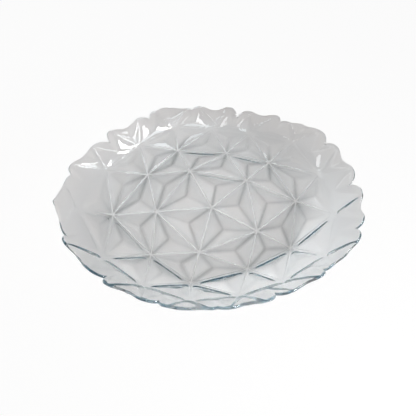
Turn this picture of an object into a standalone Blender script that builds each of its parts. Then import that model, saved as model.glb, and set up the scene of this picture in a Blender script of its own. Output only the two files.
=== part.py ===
"""Oval plate of clear pressed glass: one shell with a star relief, a thinner wall and a scalloped rim.

Units are metres, +Z is up and +X runs along the plate's length. The origin is on the table, under
the middle of the plate.
"""

from math import atan2, cos, floor, hypot, pi, radians, sin, tan

import bmesh
import bpy
from mathutils import Matrix, Vector

# Inside of the dish, measured on the surface that holds the food
INSIDE_LENGTH = 0.3010  # the rim's oval, along X
INSIDE_WIDTH = 0.2375  # the rim's oval, along Y
INSIDE_DEPTH = 0.0322  # floor to the rim's oval
FLOOR_LENGTH = 0.1995  # flat oval floor, along X
FLOOR_WIDTH = 0.1695  # flat oval floor, along Y
GLASS_THICKNESS = 0.0040  # of the floor
WALL_THINNING = 0.32  # share of the thickness that the wall lacks
THINNING_RISE = 0.0140  # height over which the glass thins
WALL_CURVE = 1.75  # power of the wall's rise: 1 is a straight cone

# Star relief: three rings of stars round a middle one, joined by triangles
SECTORS = 5
RINGS = 3
RELIEF_HEIGHT = 0.0040  # peak of each three-sided pyramid above its triangle
INNER_STAR_LENGTH = 0.1130  # first ring, along X
INNER_STAR_WIDTH = 0.1067  # first ring, along Y
FLOOR_BETWEEN = 0.895  # second ring's in-between stars, as a share of the floor's oval
WALL_CORNER = 0.66  # third ring's corner stars, from the floor (0) to the rim's oval (1)
WALL_BETWEEN = 0.515  # third ring's in-between stars, on the same scale
INNER_SHIFT = -0.0017  # whole first ring, along X
CORNER_SHIFT = -0.0030  # second ring's corner stars, along X
BETWEEN_SHIFT = 0.0025  # second ring's in-between stars, along X

# Scalloped rim, with one petal above each star of the third ring. Each row is a petal of one half of the
# rim, from the -X end: its first lobe, its middle, its last lobe and the notch after it. Each place is a
# bearing from the -X end in degrees, and how far the rim stands there past its oval, measured along X.
HALF_RIM = (
    ((-10.0, -0.0020), (0.0, 0.0021), (10.0, -0.0020), (14.1, -0.0036)),
    ((17.1, 0.0003), (24.8, -0.0029), (29.5, -0.0019), (37.1, -0.0075)),
    ((40.8, 0.0001), (48.0, -0.0038), (55.5, -0.0001), (61.1, -0.0036)),
    ((65.0, 0.0016), (69.5, 0.0024), (82.0, -0.0010), (84.9, -0.0036)),
    ((89.6, -0.0003), (98.3, -0.0042), (105.3, -0.0009), (111.3, -0.0092)),
    ((117.5, -0.0023), (123.2, -0.0039), (130.9, -0.0005), (134.2, -0.0050)),
    ((137.5, -0.0022), (144.3, 0.0005), (152.0, 0.0030), (157.7, -0.0030)),
    ((162.2, 0.0011), (168.7, -0.0025), (173.7, 0.0000), (180.0, -0.0070)),
)
POINT_SHARPNESS = 1.4  # power of the slopes of the point at the -X end
NOTCH_SHARPNESS = 2.8  # power of a notch's sides: 1 is straight
END_PETAL_ANGLE = radians(27)  # share of the petal at the -X end; the others divide the rest equally
PETAL_PEAK = 0.45  # petal's peak, from its star (0) to its rim (1)
PETAL_RELIEF = 0.0028  # petal's peak above its surface
NOTCH_RELIEF = 0.0020  # peak of the cell below each notch
RIM_STEPS = 3  # rim edges from a lobe to the petal's middle
NOTCH_STEPS = 2  # rim edges from a lobe to a notch

# Finish
RIM_ROUNDING = 0.0009
RIM_SEGMENTS = 2
RIM_EDGE_ANGLE = radians(70)  # edges sharper than this are the rim's
FOOT_FLAT = 0.0005  # ground off the lowest ridges, so that the plate stands flat

SECTOR = 2 * pi / SECTORS
PETALS = SECTORS * RINGS
PETAL_ANGLE = (2 * pi - END_PETAL_ANGLE) / (PETALS - 1)
STAR_BEARING = pi  # one row of stars points along -X
FLOOR_Z = GLASS_THICKNESS - FOOT_FLAT
WALL_RUN = (INSIDE_LENGTH - FLOOR_LENGTH) / 2
GLASS_COLOUR = (0.86, 0.90, 0.90, 1.0)


def clear_scene():
    for obj in list(bpy.data.objects):
        bpy.data.objects.remove(obj, do_unlink=True)


def new_collection(name):
    collection = bpy.data.collections.new(name)
    bpy.context.scene.collection.children.link(collection)
    return collection


def glass_material():
    material = bpy.data.materials.new("clear_glass")
    material.use_nodes = True
    shader = material.node_tree.nodes["Principled BSDF"]
    shader.inputs["Base Color"].default_value = GLASS_COLOUR
    shader.inputs["Roughness"].default_value = 0.04
    shader.inputs["Metallic"].default_value = 0.0
    shader.inputs["IOR"].default_value = 1.52
    shader.inputs["Transmission Weight"].default_value = 1.0
    return material


def oval_point(length, width, bearing, z=FLOOR_Z, shift=0.0):
    """The point of an oval in the direction of a bearing from its middle."""
    reach = length * width / hypot(width * cos(bearing), length * sin(bearing)) / 2
    return Vector((reach * cos(bearing) + shift, reach * sin(bearing), z))


def wall_point(station, bearing):
    """A point of the inner wall, from the floor's oval (station 0) to the rim's oval (station 1)."""
    length = FLOOR_LENGTH + station * (INSIDE_LENGTH - FLOOR_LENGTH)
    width = FLOOR_WIDTH + station * (INSIDE_WIDTH - FLOOR_WIDTH)
    return oval_point(length, width, bearing, FLOOR_Z + INSIDE_DEPTH * station**WALL_CURVE)


def is_corner(ring, place):
    """Stars straight out from the middle one are the corners of their ring."""
    return place % ring == 0


def star_point(ring, place):
    """The position of one star: its ring, and its place round the ring from the -X end."""
    if ring == 0:
        return Vector((0, 0, FLOOR_Z))
    bearing = STAR_BEARING + place * SECTOR / ring
    if ring == 1:
        return oval_point(INNER_STAR_LENGTH, INNER_STAR_WIDTH, bearing, shift=INNER_SHIFT)
    corner = is_corner(ring, place)
    if ring == RINGS:
        return wall_point(WALL_CORNER if corner else WALL_BETWEEN, petal_bearing(place))
    if corner:
        return oval_point(FLOOR_LENGTH, FLOOR_WIDTH, bearing, shift=CORNER_SHIFT)
    length = FLOOR_BETWEEN * FLOOR_LENGTH
    width = FLOOR_BETWEEN * FLOOR_WIDTH
    return oval_point(length, width, bearing, shift=BETWEEN_SHIFT)


def ring_and_place(co):
    """Which ring of the flat five-sided lattice a vertex is on, and its place round the ring."""
    if hypot(co.x, co.y) < 0.5:
        return 0, 0
    angle = atan2(co.y, co.x) - STAR_BEARING
    sector = floor(angle / SECTOR + 1e-6)
    from_middle = angle - (sector + 0.5) * SECTOR
    ring = round(hypot(co.x, co.y) * cos(from_middle) / cos(SECTOR / 2))
    along = 0.5 + tan(from_middle) / (2 * tan(SECTOR / 2))
    return ring, round((sector + along) * ring) % (SECTORS * ring)


def petal_bearing(petal):
    """The direction of a petal's star. Petal 0 is at the -X end."""
    if petal == 0:
        return STAR_BEARING
    return STAR_BEARING + END_PETAL_ANGLE / 2 + (petal - 0.5) * PETAL_ANGLE


def rim_knots():
    """The places of half the rim in order, each with the sharpness of its corner, or 0 if it is round."""
    _, tip, last, notch = HALF_RIM[0]
    knots = [(*tip, POINT_SHARPNESS), (*last, 0), (*notch, NOTCH_SHARPNESS)]
    for first, middle, last, notch in HALF_RIM[1:]:
        knots += [(*first, 0), (*middle, 0), (*last, 0), (*notch, NOTCH_SHARPNESS)]
    return knots


def rim_rise(turn):
    """How far the rim stands past its oval, at a bearing from the -X end to either side."""
    knots = rim_knots()
    after = 1
    while after < len(knots) - 1 and turn > knots[after][0]:
        after += 1
    (start, rise, corner), (end, next_rise, next_corner) = knots[after - 1], knots[after]
    share = (turn - start) / (end - start)
    if corner:
        return next_rise + (rise - next_rise) * (1 - share) ** corner
    if next_corner:
        return rise + (next_rise - rise) * share**next_corner
    return rise + (next_rise - rise) * sin(pi / 2 * share) ** 2


def rim_point(turn):
    """A point of the rim, at a bearing from the -X end in degrees, up to 180 to either side."""
    return wall_point(1 + rim_rise(abs(turn)) / WALL_RUN, STAR_BEARING + radians(turn))


def petal_turns(petal):
    """The bearings of a petal's first lobe, middle, last lobe and following notch, from the -X end."""
    if petal < len(HALF_RIM):
        return [turn for turn, rise in HALF_RIM[petal]]
    first, middle, last, _ = HALF_RIM[PETALS - petal]
    notch = HALF_RIM[PETALS - petal - 1][3]
    return [-last[0], -middle[0], -first[0], -notch[0]]


def spaced(start, end, count):
    """Values from start to end, in equal steps."""
    return [start + (end - start) * step / count for step in range(count + 1)]


def add_star_lattice(bm):
    """Flat five-sided disc of triangles, with its vertices carried to the stars' positions."""
    bmesh.ops.create_circle(bm, cap_ends=True, cap_tris=True, segments=SECTORS, radius=RINGS)
    bmesh.ops.rotate(bm, verts=bm.verts[:], cent=(0, 0, 0), matrix=Matrix.Rotation(pi / 2, 3, "Z"))
    bmesh.ops.subdivide_edges(bm, edges=bm.edges[:], cuts=RINGS - 1, use_grid_fill=True)
    outer_stars = {}
    for vert in bm.verts:
        ring, place = ring_and_place(vert.co)
        vert.co = star_point(ring, place)
        if ring == RINGS:
            outer_stars[place] = vert
    return outer_stars


def petal_rim(bm, petal):
    """The rim of one petal, from lobe to lobe."""
    first, middle, last, _ = petal_turns(petal)
    turns = spaced(first, middle, RIM_STEPS) + spaced(middle, last, RIM_STEPS)[1:]
    return [bm.verts.new(rim_point(turn)) for turn in turns]


def notch_rim(bm, petal, after):
    """The rim of the notch between two petals, without the lobes beside it."""
    _, _, last, notch = petal_turns(petal)
    first = petal_turns(after)[0]
    rising = notch if notch < first else notch - 360
    turns = spaced(last, notch, NOTCH_STEPS)[1:] + spaced(rising, first, NOTCH_STEPS)[1:-1]
    return [bm.verts.new(rim_point(turn)) for turn in turns]


def add_rim_cells(bm, outer_stars):
    """Petals above the outer stars, and the notched cells between them."""
    rims = {petal: petal_rim(bm, petal) for petal in outer_stars}
    for petal, star in outer_stars.items():
        rim = rims[petal]
        cell = bm.faces.new([star, *rim])
        peak = star.co.lerp(rim[RIM_STEPS].co, PETAL_PEAK)
        raise_peak(bm, cell, peak, PETAL_RELIEF)
    for petal, star in outer_stars.items():
        after = (petal + 1) % PETALS
        next_star = outer_stars[after]
        notch = notch_rim(bm, petal, after)
        cell = bm.faces.new([star, rims[petal][-1], *notch, rims[after][0], next_star])
        peak = (star.co + next_star.co + notch[NOTCH_STEPS - 1].co) / 3
        raise_peak(bm, cell, peak, NOTCH_RELIEF)


def raise_peak(bm, face, peak, height):
    """Turns a face into a pyramid whose peak stands off the inside of the dish."""
    face.normal_update()
    inward = face.normal.copy()
    tip = bmesh.ops.poke(bm, faces=[face])["verts"][0]
    tip.co = peak + height * inward


def plate_skin():
    """The inner surface of the plate, as an open mesh that faces up and in."""
    bm = bmesh.new()
    outer_stars = add_star_lattice(bm)
    bmesh.ops.recalc_face_normals(bm, faces=bm.faces[:])
    if sum(face.normal.z for face in bm.faces) < 0:
        bmesh.ops.reverse_faces(bm, faces=bm.faces[:])
    bmesh.ops.poke(bm, faces=bm.faces[:], offset=RELIEF_HEIGHT, center_mode="MEAN")
    add_rim_cells(bm, outer_stars)
    reach = [vert.co.x for vert in bm.verts]
    bmesh.ops.translate(bm, verts=bm.verts[:], vec=(-(min(reach) + max(reach)) / 2, 0, 0))
    mesh = bpy.data.meshes.new("glass_plate")
    bm.to_mesh(mesh)
    bm.free()
    return mesh


def glass_share(z):
    """How thick the glass is at a height on the inner surface, as a share of the floor's thickness."""
    return 1 - WALL_THINNING * min(1, max(0, (z - FLOOR_Z) / THINNING_RISE))


def table_cutter(collection):
    """A block under the table's plane, which grinds the lowest ridges flat."""
    depth = GLASS_THICKNESS
    bm = bmesh.new()
    bmesh.ops.create_cube(bm, size=1.0)
    size = (INSIDE_LENGTH, INSIDE_WIDTH, depth)
    bmesh.ops.scale(bm, verts=bm.verts[:], vec=size)
    bmesh.ops.translate(bm, verts=bm.verts[:], vec=(0, 0, -depth / 2))
    mesh = bpy.data.meshes.new("table_cutter")
    bm.to_mesh(mesh)
    bm.free()
    cutter = bpy.data.objects.new("table_cutter", mesh)
    collection.objects.link(cutter)
    cutter.hide_render = True
    cutter.display_type = "WIRE"
    return cutter


def glass_plate(collection, cutter):
    plate = bpy.data.objects.new("glass_plate", plate_skin())
    collection.objects.link(plate)
    plate.data.materials.append(glass_material())

    glass = plate.vertex_groups.new(name="glass")
    for vert in plate.data.vertices:
        glass.add([vert.index], glass_share(vert.co.z), "REPLACE")

    shell = plate.modifiers.new("shell", "SOLIDIFY")
    shell.thickness = GLASS_THICKNESS
    shell.vertex_group = glass.name
    shell.offset = -1
    shell.use_even_offset = True

    rounding = plate.modifiers.new("rim_rounding", "BEVEL")
    rounding.width = RIM_ROUNDING
    rounding.segments = RIM_SEGMENTS
    rounding.limit_method = "ANGLE"
    rounding.angle_limit = RIM_EDGE_ANGLE

    feet = plate.modifiers.new("ground_feet", "BOOLEAN")
    feet.operation = "DIFFERENCE"
    feet.solver = "EXACT"
    feet.object = cutter
    return plate


def main():
    clear_scene()
    parts = new_collection("oval_plate")
    cutters = new_collection("oval_plate_cutters")
    glass_plate(parts, table_cutter(cutters))


main()
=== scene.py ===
"""Looks of an oval plate of clear pressed glass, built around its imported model.

The plate is one shell of glass: a lattice of stars joined by low pyramids, and a wall that ends in a
scalloped, fire-polished rim. All sizes are in metres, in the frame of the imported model.
"""

import logging
from dataclasses import dataclass, field
from enum import Enum
from math import atan2, cos, degrees, floor, hypot, pi, radians, sin, tan
from typing import Any

import bmesh
import bpy
from mathutils import Matrix, Vector
from mathutils.kdtree import KDTree


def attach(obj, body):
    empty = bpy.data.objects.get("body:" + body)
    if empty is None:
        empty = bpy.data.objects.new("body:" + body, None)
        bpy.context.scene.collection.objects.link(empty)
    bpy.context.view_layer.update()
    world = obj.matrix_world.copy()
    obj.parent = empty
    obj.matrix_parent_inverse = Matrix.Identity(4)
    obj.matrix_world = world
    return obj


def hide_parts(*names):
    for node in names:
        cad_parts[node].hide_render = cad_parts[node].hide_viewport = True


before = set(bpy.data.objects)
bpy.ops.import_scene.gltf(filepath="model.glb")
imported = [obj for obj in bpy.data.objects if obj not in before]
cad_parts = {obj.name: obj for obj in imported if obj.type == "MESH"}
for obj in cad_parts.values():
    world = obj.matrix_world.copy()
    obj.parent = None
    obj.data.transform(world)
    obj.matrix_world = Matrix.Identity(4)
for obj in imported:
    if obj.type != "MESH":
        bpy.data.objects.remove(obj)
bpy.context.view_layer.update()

LOG = logging.getLogger("oval_plate")
Colour = tuple[float, float, float, float]
LightColour = tuple[float, float, float]
FULL_WHITE: Colour = (1.0, 1.0, 1.0, 1.0)
WHITE: LightColour = (1.0, 1.0, 1.0)
WARM: LightColour = (1.0, 0.915, 0.865)
COOL: LightColour = (0.93, 0.975, 1.0)
PINK: LightColour = (1.0, 0.9, 0.85)
# Keeps a star that stands on the edge between two sectors in the second one.
SECTOR_SLACK = 1e-6


class Value:
    """A shader socket that takes part in Python arithmetic through Math nodes."""

    def __init__(self, graph: "ShaderGraph", socket: bpy.types.NodeSocket) -> None:
        """Keeps the socket and the graph that its Math nodes are added to."""
        self.graph = graph
        self.socket = socket

    def _math(self, operation: str, first: Any, second: Any) -> "Value":
        """Adds one Math node.

        Args:
            operation: the Math node's operation.
            first: left operand, a Value or a number.
            second: right operand, a Value or a number.

        Returns:
            The node's result.
        """
        node = self.graph.node("ShaderNodeMath", {"operation": operation}, {0: first, 1: second})
        return self.graph.value(node, "Value")

    def __add__(self, other: Any) -> "Value":
        """Sum with a value or a number."""
        return self._math("ADD", self, other)

    __radd__ = __add__

    def __mul__(self, other: Any) -> "Value":
        """Product with a value or a number."""
        return self._math("MULTIPLY", self, other)

    __rmul__ = __mul__

    def __pow__(self, power: Any) -> "Value":
        """This value raised to a power."""
        return self._math("POWER", self, power)

    def __rpow__(self, base: Any) -> "Value":
        """A number raised to this value."""
        return self._math("POWER", base, self)

    def larger(self, other: Any) -> "Value":
        """The larger of this and another value."""
        return self._math("MAXIMUM", self, other)


class ShaderGraph:
    """The nodes of one material or of the world."""

    def __init__(self, tree: bpy.types.NodeTree) -> None:
        """Empties a node tree and takes it over."""
        self.tree = tree
        tree.nodes.clear()

    def node(
        self,
        kind: str,
        settings: dict[str, Any] | None = None,
        inputs: dict[str | int, Any] | None = None,
    ) -> bpy.types.Node:
        """Adds a node, sets it up and fills its sockets.

        Args:
            kind: the node's type name.
            settings: properties of the node, set before its sockets.
            inputs: socket name or index to a Value, a socket to link, or a constant.

        Returns:
            The new node.
        """
        node = self.tree.nodes.new(kind)
        for name, setting in (settings or {}).items():
            setattr(node, name, setting)
        for key, given in (inputs or {}).items():
            socket = node.inputs[key]
            if isinstance(given, Value):
                given = given.socket
            if isinstance(given, bpy.types.NodeSocket):
                self.tree.links.new(given, socket)
            else:
                socket.default_value = given
        return node

    def value(self, node: bpy.types.Node, output: str) -> Value:
        """One output of a node, ready for arithmetic."""
        return Value(self, node.outputs[output])


class NoiseScale(Enum):
    """How many features of a surface's unevenness fit in a metre."""

    SWELL = 26.0
    RIPPLE = 95.0
    BLOOM = 14.0


@dataclass(frozen=True)
class GlassFinish:
    """Clear pressed glass: a faint cool tint, a fire-polished skin and the mould's slight unevenness,
    with painted shade beside the floor's ridges and painted light along its lines.
    """

    name: str = "pressed_glass"
    tint: Colour = (1.0, 1.0, 1.0, 1.0)
    deep_tint: Colour = (0.975, 0.980, 0.985, 1.0)
    # Painted shade: the colour that darkens the glass beside the floor's ridges, standing for the
    # shadows they cast on the paper
    painted_ridge_shade: Colour = (0.410, 0.420, 0.425, 1.0)
    # Painted light: a pale diffuse band along the floor's lines, standing for the bright lines the glass
    # focuses onto the paper
    bright_line_colour: Colour = (0.95, 0.95, 0.95, 1.0)
    bright_line_share: float = 0.65
    body_colour: Colour = (0.20, 0.55, 0.68, 1.0)
    body_density: float = 19.0
    refraction: float = 1.5
    polish: float = 0.012
    polish_spread: float = 0.03
    swell_height: float = 0.00035
    ripple_height: float = 0.00014
    noise_detail: float = 1.5
    noise_roughness: float = 0.4

    def noise(self, graph: ShaderGraph, place: Value, scale: NoiseScale) -> Value:
        """Adds a noise over the glass.

        Args:
            graph: the material's nodes.
            place: the position on the plate.
            scale: the size of the noise's features.

        Returns:
            A value from about 0 to 1.
        """
        node = graph.node(
            "ShaderNodeTexNoise",
            {"noise_dimensions": "3D"},
            {
                "Vector": place,
                "Scale": scale.value,
                "Detail": self.noise_detail,
                "Roughness": self.noise_roughness,
            },
        )
        return graph.value(node, "Fac")

    def painted_light_mark(self, graph: ShaderGraph, name: str) -> Value:
        """Reads a mark where light or shade is painted into the glass's colour.

        Args:
            graph: the material's nodes.
            name: the mesh's attribute for that mark.

        Returns:
            A value from 0, away from the mark, to 1 on it.
        """
        return graph.value(graph.node("ShaderNodeAttribute", {"attribute_name": name}), "Fac")

    def blend(self, graph: ShaderGraph, share: Value, first: Any, second: Any) -> Value:
        """Mixes two colours.

        Args:
            graph: the material's nodes.
            share: how much of the second colour there is.
            first: a colour, or a Value that gives one.
            second: the other colour.

        Returns:
            The mixed colour.
        """
        sockets = {"Factor": share, "A": first, "B": second}
        node = graph.node("ShaderNodeMix", {"data_type": "RGBA"}, sockets)
        return graph.value(node, "Result")

    def material(self) -> bpy.types.Material:
        """Builds the glass.

        Returns:
            The material.
        """
        material = bpy.data.materials.new(self.name)
        material.use_nodes = True
        graph = ShaderGraph(material.node_tree)
        place = graph.value(graph.node("ShaderNodeTexCoord"), "Object")
        swell = self.noise(graph, place, NoiseScale.SWELL)
        ripple = self.noise(graph, place, NoiseScale.RIPPLE)
        bloom = self.noise(graph, place, NoiseScale.BLOOM)
        tint = self.blend(graph, bloom, self.tint, self.deep_tint)
        # Painted shade: the glass is darkened beside the floor's ridges, where their shadows on the
        # paper would fall
        tint = self.blend(graph, self.painted_light_mark(graph, "ridge"), tint, self.painted_ridge_shade)
        ripple_share = self.ripple_height / self.swell_height
        bump = graph.node(
            "ShaderNodeBump",
            inputs={
                "Strength": 1.0,
                "Distance": self.swell_height,
                "Height": swell + ripple * ripple_share,
            },
        )
        shader = graph.node(
            "ShaderNodeBsdfPrincipled",
            inputs={
                "Base Color": tint,
                "Roughness": self.polish + self.polish_spread * (ripple * bloom),
                "IOR": self.refraction,
                "Transmission Weight": 1.0,
                "Normal": bump.outputs["Normal"],
            },
        )
        body = graph.node(
            "ShaderNodeVolumeAbsorption",
            inputs={"Color": self.body_colour, "Density": self.body_density},
        )
        # Painted light: a pale diffuse band mixed in along the floor's lines, in place of the light the
        # glass focuses under them
        painted_bright_line = graph.node("ShaderNodeBsdfDiffuse", inputs={"Color": self.bright_line_colour})
        surface = graph.node(
            "ShaderNodeMixShader",
            inputs={
                0: self.painted_light_mark(graph, "line") * self.bright_line_share,
                1: shader.outputs["BSDF"],
                2: painted_bright_line.outputs["BSDF"],
            },
        )
        graph.node(
            "ShaderNodeOutputMaterial",
            inputs={"Surface": surface.outputs["Shader"], "Volume": body.outputs["Volume"]},
        )
        return material


class Zone(Enum):
    """The parts of the plate, each with the share of its relief that the inner surface has too."""

    FLOOR = 0.12
    WALL = 0.5
    RIM = 0.85


class Side(Enum):
    """The two surfaces of the glass, each with the name of its relief's layer."""

    INNER = "inner"
    OUTER = "outer"


RimKnot = tuple[float, float]


@dataclass(frozen=True)
class Petal:
    """One petal's outline, from the -X end on.

    Each place is a bearing in degrees from the -X end, and how far the rim stands there past its oval.
    """

    first: RimKnot
    middle: RimKnot
    last: RimKnot
    notch: RimKnot


# The petals of one half of the rim, from the point at the -X end to the notch at the +X end.
HALF_RIM = (
    Petal((-10.0, -0.0020), (0.0, 0.0021), (10.0, -0.0020), (14.1, -0.0036)),
    Petal((17.1, 0.0003), (24.8, -0.0029), (29.5, -0.0019), (37.1, -0.0075)),
    Petal((40.8, 0.0001), (48.0, -0.0038), (55.5, -0.0001), (61.1, -0.0036)),
    Petal((65.0, 0.0016), (69.5, 0.0024), (82.0, -0.0010), (84.9, -0.0036)),
    Petal((89.6, -0.0003), (98.3, -0.0042), (105.3, -0.0009), (111.3, -0.0092)),
    Petal((117.5, -0.0023), (123.2, -0.0039), (130.9, -0.0005), (134.2, -0.0050)),
    Petal((137.5, -0.0022), (144.3, 0.0005), (152.0, 0.0030), (157.7, -0.0030)),
    Petal((162.2, 0.0011), (168.7, -0.0025), (173.7, 0.0000), (180.0, -0.0070)),
)


@dataclass
class PressedPlate:
    """The glass plate, with the sizes of its mould."""

    name: str = "glass_plate_polished"
    # Dish
    inside_length: float = 0.3010
    inside_width: float = 0.2375
    inside_depth: float = 0.0322
    floor_length: float = 0.1995
    floor_width: float = 0.1695
    wall_curve: float = 1.75
    thickness: float = 0.0040
    wall_thinning: float = 0.32
    thinning_rise: float = 0.0140
    foot_flat: float = 0.0005
    # Lattice of stars, some placed by a share of the floor's oval or of the way up the wall
    sectors: int = 5
    rings: int = 3
    inner_star_length: float = 0.1130
    inner_star_width: float = 0.1067
    inner_shift: float = -0.0017
    floor_between: float = 0.895
    corner_shift: float = -0.0030
    between_shift: float = 0.0025
    wall_corner: float = 0.66
    wall_between: float = 0.515
    # Petals and rim
    half_rim: tuple[Petal, ...] = HALF_RIM
    point_sharpness: float = 1.4
    notch_sharpness: float = 2.8
    end_petal_angle: float = radians(27)
    rim_bulge: float = 0.0009
    # Relief, by slope on the floor and the wall and by height on the petals
    facet_slope: float = 0.24
    wall_slope: float = 0.31
    petal_peak: float = 0.45
    petal_relief: float = 0.0028
    notch_relief: float = 0.0020
    pillow: float = 0.75
    groove_depth: float = 0.00018
    # Fineness and softness of the mesh
    facet_steps: int = 12
    rim_steps: int = 6
    softness: float = 0.5
    ridge_passes: int = 2
    petal_passes: int = 3
    valley_passes: int = 1
    rib_passes: int = 4
    rib_reach: int = 2
    # Painted shade beside the floor's ridges and painted light along its lines, which fade out up the
    # wall
    ridge_shade_reach: float = 0.0036
    ridge_shade_least: float = 0.25
    shade_light_bearing: float = radians(-31)
    mark_rise: float = 0.010
    finish: GlassFinish = field(default_factory=GlassFinish)

    @property
    def sector(self) -> float:
        """Angle of one of the lattice's sectors."""
        return 2 * pi / self.sectors

    @property
    def petals(self) -> int:
        """How many petals the rim has."""
        return self.sectors * self.rings

    @property
    def petal_angle(self) -> float:
        """Angle of every petal but the one at the -X end."""
        return (2 * pi - self.end_petal_angle) / (self.petals - 1)

    @property
    def floor_z(self) -> float:
        """Height of the floor's stars above the table."""
        return self.thickness - self.foot_flat

    @property
    def wall_run(self) -> float:
        """How far out the wall leans, along X."""
        return (self.inside_length - self.floor_length) / 2

    def oval_point(
        self, length: float, width: float, bearing: float, z: float, shift: float = 0.0
    ) -> Vector:
        """Finds a point of an oval.

        Args:
            length: the oval's length along X.
            width: its width along Y.
            bearing: direction of the point from the oval's middle.
            z: height of the oval.
            shift: place of the oval's middle along X.

        Returns:
            The point.
        """
        reach = length * width / hypot(width * cos(bearing), length * sin(bearing)) / 2
        return Vector((reach * cos(bearing) + shift, reach * sin(bearing), z))

    def wall_point(self, station: float, bearing: float) -> Vector:
        """Finds a point of the inner wall.

        Args:
            station: 0 at the floor's oval, 1 at the rim's oval.
            bearing: direction from the middle of the plate.

        Returns:
            The point.
        """
        length = self.floor_length + station * (self.inside_length - self.floor_length)
        width = self.floor_width + station * (self.inside_width - self.floor_width)
        rise = self.inside_depth * station**self.wall_curve
        return self.oval_point(length, width, bearing, self.floor_z + rise)

    def is_corner(self, ring: int, place: int) -> bool:
        """Whether a star is straight out from the middle one, at a corner of its ring."""
        return place % ring == 0

    def petal_bearing(self, petal: int) -> float:
        """Finds the direction of a petal's star.

        Args:
            petal: the petal's place, from the -X end.

        Returns:
            The star's bearing from the middle of the plate.
        """
        if petal == 0:
            return pi
        return pi + self.end_petal_angle / 2 + (petal - 0.5) * self.petal_angle

    def star_point(self, ring: int, place: int) -> Vector:
        """Finds the position of one star.

        Args:
            ring: 0 for the middle star, then outwards.
            place: the star's place round its ring, from the -X end.

        Returns:
            The position, on the inner surface.
        """
        if ring == 0:
            return Vector((0, 0, self.floor_z))
        bearing = pi + place * self.sector / ring
        if ring == 1:
            length, width = self.inner_star_length, self.inner_star_width
            return self.oval_point(length, width, bearing, self.floor_z, self.inner_shift)
        corner = self.is_corner(ring, place)
        if ring == self.rings:
            station = self.wall_corner if corner else self.wall_between
            return self.wall_point(station, self.petal_bearing(place))
        share = 1 if corner else self.floor_between
        shift = self.corner_shift if corner else self.between_shift
        length, width = share * self.floor_length, share * self.floor_width
        return self.oval_point(length, width, bearing, self.floor_z, shift)

    def ring_and_place(self, co: Vector) -> tuple[int, int]:
        """Reads a vertex of the flat lattice.

        Args:
            co: the vertex, in a lattice whose rings are 1 apart at their corners.

        Returns:
            Its ring, and its place round the ring from the -X end.
        """
        reach = hypot(co.x, co.y)
        if round(reach) == 0:
            return 0, 0
        angle = atan2(co.y, co.x) - pi
        sector = floor(angle / self.sector + SECTOR_SLACK)
        from_middle = angle - (sector + 0.5) * self.sector
        ring = round(reach * cos(from_middle) / cos(self.sector / 2))
        along = 0.5 + tan(from_middle) / (2 * tan(self.sector / 2))
        return ring, round((sector + along) * ring) % (self.sectors * ring)

    @property
    def rim_knots(self) -> list[tuple[float, float, float]]:
        """Lists the places of half the rim in order.

        Returns:
            Each place with the sharpness of its corner, or 0 where the rim is round.
        """
        point = self.half_rim[0]
        knots = [(*point.middle, self.point_sharpness), (*point.last, 0.0)]
        knots.append((*point.notch, self.notch_sharpness))
        for petal in self.half_rim[1:]:
            knots += [(*knot, 0.0) for knot in (petal.first, petal.middle, petal.last)]
            knots.append((*petal.notch, self.notch_sharpness))
        return knots

    def rim_rise(self, turn: float) -> float:
        """Finds the outline of the petals.

        Args:
            turn: bearing from the -X end to either side, in degrees up to 180.

        Returns:
            How far the rim stands past its oval.
        """
        knots = self.rim_knots
        before, after = next(
            pair for pair in zip(knots, knots[1:]) if turn <= pair[1][0] or pair[1] is knots[-1]
        )
        (start, rise, corner), (end, next_rise, next_corner) = before, after
        share = min(1.0, (turn - start) / (end - start))
        if corner:
            return next_rise + (rise - next_rise) * (1 - share) ** corner
        if next_corner:
            return rise + (next_rise - rise) * share**next_corner
        return rise + (next_rise - rise) * sin(pi / 2 * share) ** 2

    def rim_station(self, bearing: float) -> float:
        """How far up the wall the rim stands, at a bearing from the middle of the plate."""
        return 1 + self.rim_rise(degrees(abs(bearing % (2 * pi) - pi))) / self.wall_run

    def rim_bearings(self, place: int) -> list[float]:
        """Finds where a petal and the notch after it stand.

        Args:
            place: the petal's place, from the -X end.

        Returns:
            Bearings of the petal's first lobe, its middle, its last lobe and the notch.
        """
        mirrored = place >= len(self.half_rim)
        petal = self.half_rim[self.petals - place if mirrored else place]
        turns = [petal.first[0], petal.middle[0], petal.last[0], petal.notch[0]]
        if mirrored:
            notch = self.half_rim[self.petals - place - 1].notch
            turns = [-petal.last[0], -petal.middle[0], -petal.first[0], -notch[0]]
        return [pi + radians(turn) for turn in turns]

    def rim_point(self, bearing: float) -> Vector:
        """The edge of the inner surface, just inside the rounded rim."""
        return self.wall_point(self.rim_station(bearing) - self.rim_bulge / self.wall_run, bearing)

    def add_tip(
        self, bm: bmesh.types.BMesh, face: bmesh.types.BMFace, foot: Vector, height: float, zone: Zone
    ) -> None:
        """Divides a cell into facets that meet at one tip, still flat.

        Args:
            bm: the mesh.
            face: the cell.
            foot: place of the tip on the cell.
            height: how far the tip is to stand off into the dish.
            zone: the part of the plate that the cell belongs to.
        """
        tip = bmesh.ops.poke(bm, faces=[face])["verts"][0]
        tip.co = foot
        tip[bm.verts.layers.float["lift"]] = 1.0
        tip[bm.verts.layers.float[Side.OUTER.value]] = height
        tip[bm.verts.layers.float[Side.INNER.value]] = height * zone.value
        tip[bm.verts.layers.float["petal"]] = float(zone is Zone.RIM)
        # The ridges are told by their sharp edges until they are marked.
        for edge in tip.link_edges:
            edge.smooth = False

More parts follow.
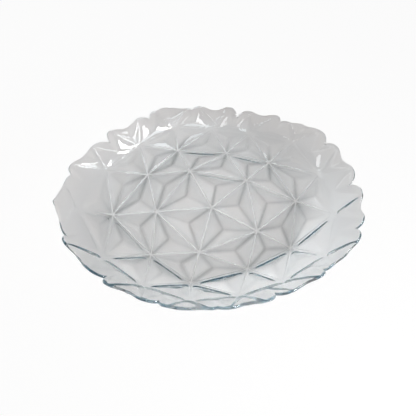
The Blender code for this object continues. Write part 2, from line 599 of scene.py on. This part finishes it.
    def add_lattice(self, bm: bmesh.types.BMesh) -> dict[int, bmesh.types.BMVert]:
        """Adds the stars and the cells between them.

        Args:
            bm: the mesh, still empty.

        Returns:
            The stars of the outer ring, by place.
        """
        bmesh.ops.create_circle(
            bm, cap_ends=True, cap_tris=True, segments=self.sectors, radius=self.rings
        )
        quarter = Matrix.Rotation(pi / 2, 3, "Z")
        bmesh.ops.rotate(bm, verts=bm.verts[:], cent=(0, 0, 0), matrix=quarter)
        bmesh.ops.subdivide_edges(bm, edges=bm.edges[:], cuts=self.rings - 1, use_grid_fill=True)
        outer = {}
        for vert in bm.verts:
            ring, place = self.ring_and_place(vert.co)
            vert.co = self.star_point(ring, place)
            if ring == self.rings:
                outer[place] = vert
        for edge in bm.edges:
            edge.seam = True
        bmesh.ops.recalc_face_normals(bm, faces=bm.faces[:])
        if sum(face.normal.z for face in bm.faces) < 0:
            bmesh.ops.reverse_faces(bm, faces=bm.faces[:])
        for face in bm.faces[:]:
            inner_radius = 2 * face.calc_area() / face.calc_perimeter()
            on_wall = any(vert in outer.values() for vert in face.verts)
            slope, zone = (self.wall_slope, Zone.WALL) if on_wall else (self.facet_slope, Zone.FLOOR)
            self.add_tip(bm, face, face.calc_center_median(), slope * inner_radius, zone)
        return outer

    def add_rim_cells(self, bm: bmesh.types.BMesh, outer: dict[int, bmesh.types.BMVert]) -> None:
        """Adds the petals over the outer stars, and the notched cells between them.

        Args:
            bm: the mesh with the lattice.
            outer: the stars of the outer ring, by place.
        """
        rims = {}
        for petal, star in outer.items():
            *bearings, _ = self.rim_bearings(petal)
            rim = [bm.verts.new(self.rim_point(bearing)) for bearing in bearings]
            rims[petal] = rim
            cell = bm.faces.new([star, *rim])
            foot = star.co.lerp(rim[1].co, self.petal_peak)
            self.add_tip(bm, cell, foot, self.petal_relief, Zone.RIM)
        for petal, star in outer.items():
            after = (petal + 1) % self.petals
            next_star = outer[after]
            notch = bm.verts.new(self.rim_point(self.rim_bearings(petal)[-1]))
            corners = [star, rims[petal][-1], notch, rims[after][0], next_star]
            cell = bm.faces.new(corners)
            for one, other in ((star, corners[1]), (next_star, corners[3])):
                bm.edges.get((one, other)).seam = True
            foot = (star.co + next_star.co + notch.co) / 3
            self.add_tip(bm, cell, foot, self.notch_relief, Zone.RIM)

    def divide(self, bm: bmesh.types.BMesh) -> None:
        """Divides the facets finely and rounds the rim's outline.

        Args:
            bm: the flat cells.
        """
        cuts = self.facet_steps - 1
        bmesh.ops.subdivide_edges(bm, edges=bm.edges[:], cuts=cuts, use_grid_fill=True)
        for vert in bm.verts:
            if vert.is_boundary:
                vert.co = self.rim_point(atan2(vert.co.y, vert.co.x))

    def mark_edges(self, bm: bmesh.types.BMesh) -> None:
        """Notes which vertices are on the lattice's lines, where light is painted, and how much painted
        shade each one gets beside a ridge.

        Args:
            bm: the divided cells, whose ridges lose their sharp edges here.
        """
        line = bm.verts.layers.float["line"]
        ridge = bm.verts.layers.float["ridge"]
        petal = bm.verts.layers.float["petal"]
        inside = [vert for vert in bm.verts if not vert[petal]]
        lines = [vert for vert in inside if self.in_valley(vert)]
        ridges = [vert for vert in inside if not all(edge.smooth for edge in vert.link_edges)]
        near_ridge = KDTree(len(ridges))
        for index, vert in enumerate(ridges):
            near_ridge.insert(vert.co, index)
        near_ridge.balance()
        strengths = [self.ridge_shade_strength(vert) for vert in ridges]
        # Painted shade: how dark the glass is painted near each ridge, fading with distance and up the
        # wall
        for vert in inside:
            _, index, away = near_ridge.find(vert.co)
            nearness = max(0.0, 1 - (away / self.ridge_shade_reach) ** 2) ** 2
            vert[ridge] = strengths[index] * nearness * self.floor_share(vert.co)
        # Painted light: the floor's lines get the pale band that stands for light focused under them
        for vert in lines:
            vert[line] = self.floor_share(vert.co)
        for edge in bm.edges:
            edge.smooth = True

    def floor_share(self, co: Vector) -> float:
        """How far a point belongs to the floor: 1 there, 0 up the wall."""
        return max(0.0, 1 - (co.z - self.floor_z) / self.mark_rise)

    def glass_at(self, co: Vector) -> float:
        """How thick the glass is at a point, less up the wall than on the floor."""
        share = min(1.0, max(0.0, (co.z - self.floor_z) / self.thinning_rise))
        return self.thickness * (1 - self.wall_thinning * share)

    def ridge_shade_strength(self, vert: bmesh.types.BMVert) -> float:
        """Finds how dark the painted shade beside a ridge is, most where the ridge runs across the light
        that comes from its bearing.

        Args:
            vert: a vertex of the ridge.

        Returns:
            The strength, up to 1.
        """
        edge = next(edge for edge in vert.link_edges if not edge.smooth)
        along = edge.verts[0].co - edge.verts[1].co
        across = abs(sin(atan2(along.y, along.x) - self.shade_light_bearing))
        return self.ridge_shade_least + (1 - self.ridge_shade_least) * across

    def emboss(self, bm: bmesh.types.BMesh, side: Side) -> None:
        """Swells each cell into a pillowed pyramid, steepest along its edges.

        Args:
            bm: the divided cells.
            side: the surface whose relief they get.
        """
        lift = bm.verts.layers.float["lift"]
        relief = bm.verts.layers.float[side.value]
        moves = []
        for vert in bm.verts:
            if vert[lift] > 0:
                height = vert[relief] / vert[lift] * vert[lift] ** self.pillow
                moves.append((vert, height * vert.normal))
        for vert, move in moves:
            vert.co += move

    def relax(self, bm: bmesh.types.BMesh, verts: list[bmesh.types.BMVert], passes: int) -> None:
        """Rounds a part of a surface.

        Args:
            bm: the surface.
            verts: the vertices that move.
            passes: how many times each one moves towards its neighbours.
        """
        axes = {"use_axis_x": True, "use_axis_y": True, "use_axis_z": True}
        for _ in range(passes):
            bmesh.ops.smooth_vert(bm, verts=verts, factor=self.softness, **axes)

    def soften(self, bm: bmesh.types.BMesh) -> None:
        """Rounds the ridges, those of the petals the most.

        Args:
            bm: the embossed surface.
        """
        petal = bm.verts.layers.float["petal"]
        ridges = [vert for vert in bm.verts if not vert.is_boundary and not self.in_valley(vert)]
        self.relax(bm, ridges, self.ridge_passes)
        self.relax(bm, [vert for vert in ridges if vert[petal] > 0], self.petal_passes)

    def in_valley(self, vert: bmesh.types.BMVert) -> bool:
        """Whether a vertex lies on a line between two stars, or between a star and the rim."""
        return any(edge.seam for edge in vert.link_edges)

    def valleys(self, bm: bmesh.types.BMesh) -> list[bmesh.types.BMVert]:
        """The vertices along the lattice's lines, without those on the rim."""
        return [vert for vert in bm.verts if not vert.is_boundary and self.in_valley(vert)]

    def cut_grooves(self, bm: bmesh.types.BMesh) -> None:
        """Rounds the valleys and cuts the fine grooves along the floor's lines.

        Args:
            bm: the softened inner surface.
        """
        valleys = self.valleys(bm)
        self.relax(bm, valleys, self.valley_passes)
        bm.normal_update()
        for vert in valleys:
            vert.co -= self.groove_depth * self.floor_share(vert.co) * vert.normal

    def round_ribs(self, bm: bmesh.types.BMesh) -> None:
        """Rounds the ribs that the lattice's lines make under the plate.

        Args:
            bm: the softened surface of the underside.
        """
        near = {vert for vert in bm.verts if self.in_valley(vert)}
        for _ in range(self.rib_reach):
            near |= {edge.other_vert(vert) for vert in near for edge in vert.link_edges}
        ribs = [vert for vert in bm.verts if vert in near and not vert.is_boundary]
        self.relax(bm, ribs, self.rib_passes)

    def rim_loop(self, bm: bmesh.types.BMesh) -> list[bmesh.types.BMVert]:
        """Walks round the edge of the inner surface.

        Args:
            bm: the inner surface.

        Returns:
            The edge's vertices, in order of bearing.
        """
        edge = [vert for vert in bm.verts if vert.is_boundary]
        return sorted(edge, key=lambda vert: atan2(vert.co.y, vert.co.x))

    def cells(self) -> bmesh.types.BMesh:
        """Builds the cells, still without their relief.

        Returns:
            The divided and marked cells, as an open mesh that faces up and in.
        """
        bm = bmesh.new()
        for layer in ("lift", Side.INNER.value, Side.OUTER.value, "petal", "line", "ridge"):
            bm.verts.layers.float.new(layer)
        outer = self.add_lattice(bm)
        self.add_rim_cells(bm, outer)
        self.divide(bm)
        self.mark_edges(bm)
        bm.normal_update()
        return bm

    def sheet(self, side: Side) -> bmesh.types.BMesh:
        """Builds the form of one surface of the glass.

        Args:
            side: which of the two it is.

        Returns:
            The surface, with its vertices in the order of the cells.
        """
        bm = self.cells()
        self.emboss(bm, side)
        self.soften(bm)
        return bm

    def add_underside(self, bm: bmesh.types.BMesh) -> dict[bmesh.types.BMVert, bmesh.types.BMVert]:
        """Adds the outer surface, a glass thickness below the inner one.

        Args:
            bm: the inner surface.

        Returns:
            The outer vertex of each inner one.
        """
        inner_verts, inner_faces = bm.verts[:], bm.faces[:]
        under = self.sheet(Side.OUTER)
        self.round_ribs(under)
        level = self.cells()
        outer = {}
        for vert, below, flat in zip(inner_verts, under.verts, level.verts):
            outer[vert] = bm.verts.new(below.co - self.glass_at(flat.co) * flat.normal)
        under.free()
        level.free()
        for face in inner_faces:
            bm.faces.new([outer[vert] for vert in reversed(face.verts)])
        return outer

    def add_round_rim(
        self,
        bm: bmesh.types.BMesh,
        loop: list[bmesh.types.BMVert],
        outer: dict[bmesh.types.BMVert, bmesh.types.BMVert],
    ) -> None:
        """Joins the two surfaces by a rounded rim.

        Args:
            bm: the two surfaces.
            loop: the edge of the inner surface, in order.
            outer: the outer vertex of each inner one.
        """
        count = len(loop)
        rows = [loop]
        for step in range(1, self.rim_steps):
            turn = pi * step / self.rim_steps
            row = []
            for index, vert in enumerate(loop):
                along = (loop[(index + 1) % count].co - loop[index - 1].co).normalized()
                outward = along.cross(vert.normal).normalized()
                middle = (vert.co + outer[vert].co) / 2
                up = (vert.co - outer[vert].co) / 2
                place = middle + up * cos(turn) + outward * self.rim_bulge * sin(turn)
                row.append(bm.verts.new(place))
            rows.append(row)
        rows.append([outer[vert] for vert in loop])
        for upper, lower in zip(rows, rows[1:]):
            for index in range(count):
                after = (index + 1) % count
                bm.faces.new([upper[index], lower[index], lower[after], upper[after]])

    def thicken(self, bm: bmesh.types.BMesh) -> None:
        """Adds the outer surface and the rounded rim, and grinds the lowest ridges flat.

        Args:
            bm: the inner surface.
        """
        loop = self.rim_loop(bm)
        outer = self.add_underside(bm)
        self.add_round_rim(bm, loop, outer)
        for vert in bm.verts:
            vert.co.z = max(vert.co.z, 0.0)

    def build(self) -> bpy.types.Object:
        """Builds and dresses the plate.

        Returns:
            The plate's object.
        """
        bm = self.sheet(Side.INNER)
        self.cut_grooves(bm)
        self.thicken(bm)
        bmesh.ops.recalc_face_normals(bm, faces=bm.faces[:])
        reach = [vert.co.x for vert in bm.verts]
        middle = (min(reach) + max(reach)) / 2
        LOG.info("middle star at %.5f", -middle)
        bmesh.ops.translate(bm, verts=bm.verts[:], vec=(-middle, 0, 0))
        mesh = bpy.data.meshes.new(self.name)
        bm.to_mesh(mesh)
        bm.free()
        mesh.shade_smooth()
        plate = bpy.data.objects.new(self.name, mesh)
        bpy.context.scene.collection.objects.link(plate)
        mesh.materials.append(self.finish.material())
        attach(plate, "root")
        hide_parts("glass_plate")
        return plate


@dataclass(frozen=True)
class PaperFinish:
    """Plain pale paper under the plate, which shows white to the camera and keeps its shadow."""

    name: str = "pale_paper"
    colour: Colour = (0.886, 0.860, 0.848, 1.0)
    glow: float = 0.95
    glow_through: float = 0.1

    def material(self) -> bpy.types.Material:
        """Builds the paper.

        Returns:
            The material.
        """
        material = bpy.data.materials.new(self.name)
        material.use_nodes = True
        graph = ShaderGraph(material.node_tree)
        path = graph.node("ShaderNodeLightPath")
        through = graph.value(path, "Is Glossy Ray").larger(graph.value(path, "Is Transmission Ray"))
        seen = (self.glow * graph.value(path, "Is Camera Ray")).larger(self.glow_through * through)
        paper = graph.node("ShaderNodeBsdfDiffuse", inputs={"Color": self.colour})
        white = graph.node("ShaderNodeEmission", inputs={"Color": FULL_WHITE, "Strength": 1.0})
        mixed = graph.node(
            "ShaderNodeMixShader",
            inputs={0: seen, 1: paper.outputs["BSDF"], 2: white.outputs["Emission"]},
        )
        graph.node("ShaderNodeOutputMaterial", inputs={"Surface": mixed.outputs["Shader"]})
        return material


def direction_to(bearing: float, elevation: float) -> Vector:
    """Finds the direction from the plate to a light.

    Args:
        bearing: the light's bearing, in degrees from +X.
        elevation: its angle above the table, in degrees.

    Returns:
        The direction, of length 1.
    """
    turn, rise = radians(bearing), radians(elevation)
    return Vector((cos(rise) * cos(turn), cos(rise) * sin(turn), sin(rise)))


class LampRole(Enum):
    """What a lamp is for."""

    FILL = "lights the scene, without an image in the glass"
    GLINT = "is mirrored in the glass, without lighting the paper"


@dataclass(frozen=True)
class Softbox:
    """A soft lamp that faces the plate, with its angles in degrees."""

    name: str
    bearing: float
    elevation: float
    distance: float
    width: float
    height: float
    power: float
    role: LampRole
    colour: LightColour = WHITE
    spread: float = 180.0

    def build(self) -> bpy.types.Object:
        """Hangs the lamp.

        Returns:
            The lamp's object.
        """
        lamp = bpy.data.lights.new(self.name, "AREA")
        lamp.shape = "RECTANGLE"
        lamp.size = self.width
        lamp.size_y = self.height
        lamp.energy = self.power
        lamp.color = self.colour
        lamp.spread = radians(self.spread)
        away = direction_to(self.bearing, self.elevation)
        box = bpy.data.objects.new(self.name, lamp)
        box.visible_glossy = self.role is LampRole.GLINT
        box.visible_diffuse = box.visible_transmission = self.role is LampRole.FILL
        box.location = away * self.distance
        box.rotation_euler = away.to_track_quat("Z", "Y").to_euler()
        bpy.context.scene.collection.objects.link(box)
        return box


@dataclass(frozen=True)
class ViewPoint:
    """The photograph's camera, placed by its angles round the middle star."""

    name: str = "photo_camera"
    elevation: float = radians(57.17)
    yaw: float = radians(10.12)
    roll: float = radians(-4.22)
    distance: float = 0.4157
    focal_pixels: float = 393.7
    frame_pixels: float = 416.0
    sensor_mm: float = 36.0
    aim: Vector = field(default_factory=lambda: Vector((0.00153, 0.0, 0.0035)))
    aside_pixels: float = 3.57
    above_pixels: float = 0.56
    nearest: float = 0.01

    def build(self) -> bpy.types.Object:
        """Places the camera and makes it the scene's own.

        Returns:
            The camera's object.
        """
        level = Vector((cos(self.yaw), -sin(self.yaw), 0))
        ahead = Vector((sin(self.yaw), cos(self.yaw), 0))
        view = ahead * cos(self.elevation) - Vector((0, 0, sin(self.elevation)))
        rise = ahead * sin(self.elevation) + Vector((0, 0, cos(self.elevation)))
        right = level * cos(self.roll) - rise * sin(self.roll)
        up = level * sin(self.roll) + rise * cos(self.roll)
        per_pixel = self.distance / self.focal_pixels
        place = self.aim - view * self.distance
        place -= per_pixel * (right * self.aside_pixels + up * self.above_pixels)
        data = bpy.data.cameras.new(self.name)
        data.sensor_width = self.sensor_mm
        data.lens = self.sensor_mm * self.focal_pixels / self.frame_pixels
        data.clip_start = self.nearest
        camera = bpy.data.objects.new(self.name, data)
        axes = Matrix((right, up, -view)).transposed().to_4x4()
        camera.matrix_world = Matrix.Translation(place) @ axes
        bpy.context.scene.collection.objects.link(camera)
        bpy.context.scene.camera = camera
        return camera


@dataclass(frozen=True)
class SkyGlow:
    """A soft bright part of the surroundings, as a window gives, with its angles in degrees."""

    bearing: float = 66.0
    elevation: float = 60.0
    strength: float = 0.45
    narrowness: float = 24.0
    colour: Colour = (1.0, 0.930, 0.890, 1.0)

    def light(self, graph: ShaderGraph, direction: Value) -> Value:
        """Finds how bright the glow is.

        Args:
            graph: the world's nodes.
            direction: where the ray goes.

        Returns:
            The glow's strength there.
        """
        towards = direction_to(self.bearing, self.elevation)
        facing = graph.node(
            "ShaderNodeVectorMath", {"operation": "DOT_PRODUCT"}, {0: direction, 1: towards}
        )
        return self.strength * graph.value(facing, "Value").larger(0.0) ** self.narrowness


@dataclass
class Studio:
    """The paper floor, the light all round, the lamps and the camera."""

    # With fewer bounces the light that stays inside the glass leaves black lines in the wall.
    light_bounces: int = 32
    floor_name: str = "paper_floor"
    floor_reach: float = 3.0
    floor_squares: int = 8
    floor_gap: float = 0.0004
    sky_colour: Colour = (0.100, 0.103, 0.108, 1.0)
    glow: SkyGlow = field(default_factory=SkyGlow)
    paper: PaperFinish = field(default_factory=PaperFinish)
    view: ViewPoint = field(default_factory=ViewPoint)
    lamps: tuple[Softbox, ...] = (
        # Name, bearing, elevation, distance, width, height, power and role
        Softbox("overhead", -112, 80, 0.34, 0.36, 0.36, 0.47, LampRole.FILL, WARM),
        Softbox("top_left", 150, 55, 0.34, 0.25, 0.25, 0.06, LampRole.FILL, spread=70),
        Softbox("front", -62, 18, 0.5, 0.50, 0.15, 2.30, LampRole.FILL, COOL),
        Softbox("front_right", -30, 18, 0.5, 0.50, 0.15, 0.24, LampRole.FILL),
        Softbox("back_left", 130, 30, 0.5, 0.40, 0.20, 0.20, LampRole.FILL),
        Softbox("front_panel", -90, 35, 1.1, 0.40, 0.16, 0.22, LampRole.GLINT),
        Softbox("window_a", -67, 39, 1.1, 0.06, 0.20, 0.55, LampRole.GLINT),
        Softbox("window_b", -46, 28, 1.1, 0.08, 0.36, 3.00, LampRole.GLINT),
        Softbox("window_c", -34, 30, 1.1, 0.08, 0.36, 3.00, LampRole.GLINT),
        Softbox("window_d", -22, 32, 1.1, 0.08, 0.36, 3.00, LampRole.GLINT),
        Softbox("window_e", -12, 33, 1.1, 0.08, 0.40, 3.40, LampRole.GLINT),
        Softbox("window_high", -6, 51, 1.1, 0.08, 0.20, 0.70, LampRole.GLINT),
        Softbox("front_high", -93, 42, 1.1, 0.05, 0.16, 0.25, LampRole.GLINT),
        Softbox("front_left", -113, 42, 1.1, 0.05, 0.16, 0.25, LampRole.GLINT),
        Softbox("window_left", -157, 40, 1.1, 0.06, 0.20, 0.35, LampRole.GLINT, PINK),
        Softbox("left_high", -162, 50, 1.1, 0.05, 0.16, 0.20, LampRole.GLINT),
    )

    def add_floor(self) -> bpy.types.Object:
        """Lays the paper.

        Returns:
            The floor's object.
        """
        bm = bmesh.new()
        squares = self.floor_squares
        bmesh.ops.create_grid(bm, x_segments=squares, y_segments=squares, size=self.floor_reach)
        mesh = bpy.data.meshes.new(self.floor_name)
        bm.to_mesh(mesh)
        bm.free()
        mesh.materials.append(self.paper.material())
        paper = bpy.data.objects.new(self.floor_name, mesh)
        paper.location.z = -self.floor_gap
        bpy.context.scene.collection.objects.link(paper)
        return paper

    def add_sky(self) -> None:
        """Surrounds the plate with light that swells softly towards one side, white where it is seen."""
        world = bpy.data.worlds.new("studio")
        bpy.context.scene.world = world
        world.use_nodes = True
        graph = ShaderGraph(world.node_tree)
        direction = graph.value(graph.node("ShaderNodeTexCoord"), "Generated")
        light = self.glow.light(graph, direction)
        base = graph.node("ShaderNodeBackground", inputs={"Color": self.sky_colour, "Strength": 1.0})
        glow = graph.node("ShaderNodeBackground", inputs={"Color": self.glow.colour, "Strength": light})
        white = graph.node("ShaderNodeBackground", inputs={"Color": FULL_WHITE, "Strength": 1.0})
        lit = graph.node(
            "ShaderNodeAddShader",
            inputs={0: base.outputs["Background"], 1: glow.outputs["Background"]},
        )
        seen = graph.value(graph.node("ShaderNodeLightPath"), "Is Camera Ray")
        sky = graph.node(
            "ShaderNodeMixShader",
            inputs={0: seen, 1: lit.outputs["Shader"], 2: white.outputs["Background"]},
        )
        graph.node("ShaderNodeOutputWorld", inputs={"Surface": sky.outputs["Shader"]})

    def build(self) -> None:
        """Sets up the whole studio."""
        bpy.context.scene.view_settings.view_transform = "Standard"
        paths = bpy.context.scene.cycles
        paths.max_bounces = paths.glossy_bounces = paths.transmission_bounces = self.light_bounces
        self.add_floor()
        self.add_sky()
        for lamp in self.lamps:
            lamp.build()
        self.view.build()


def main() -> None:
    """Builds the plate and its studio, and reports each piece."""
    logging.basicConfig(level=logging.INFO, format="%(message)s")
    plate = PressedPlate().build()
    LOG.info("%s: %d faces", plate.name, len(plate.data.polygons))
    studio = Studio()
    studio.build()
    LOG.info("%s and %d lamps", studio.floor_name, len(studio.lamps))


if __name__ == "__main__":
    main()
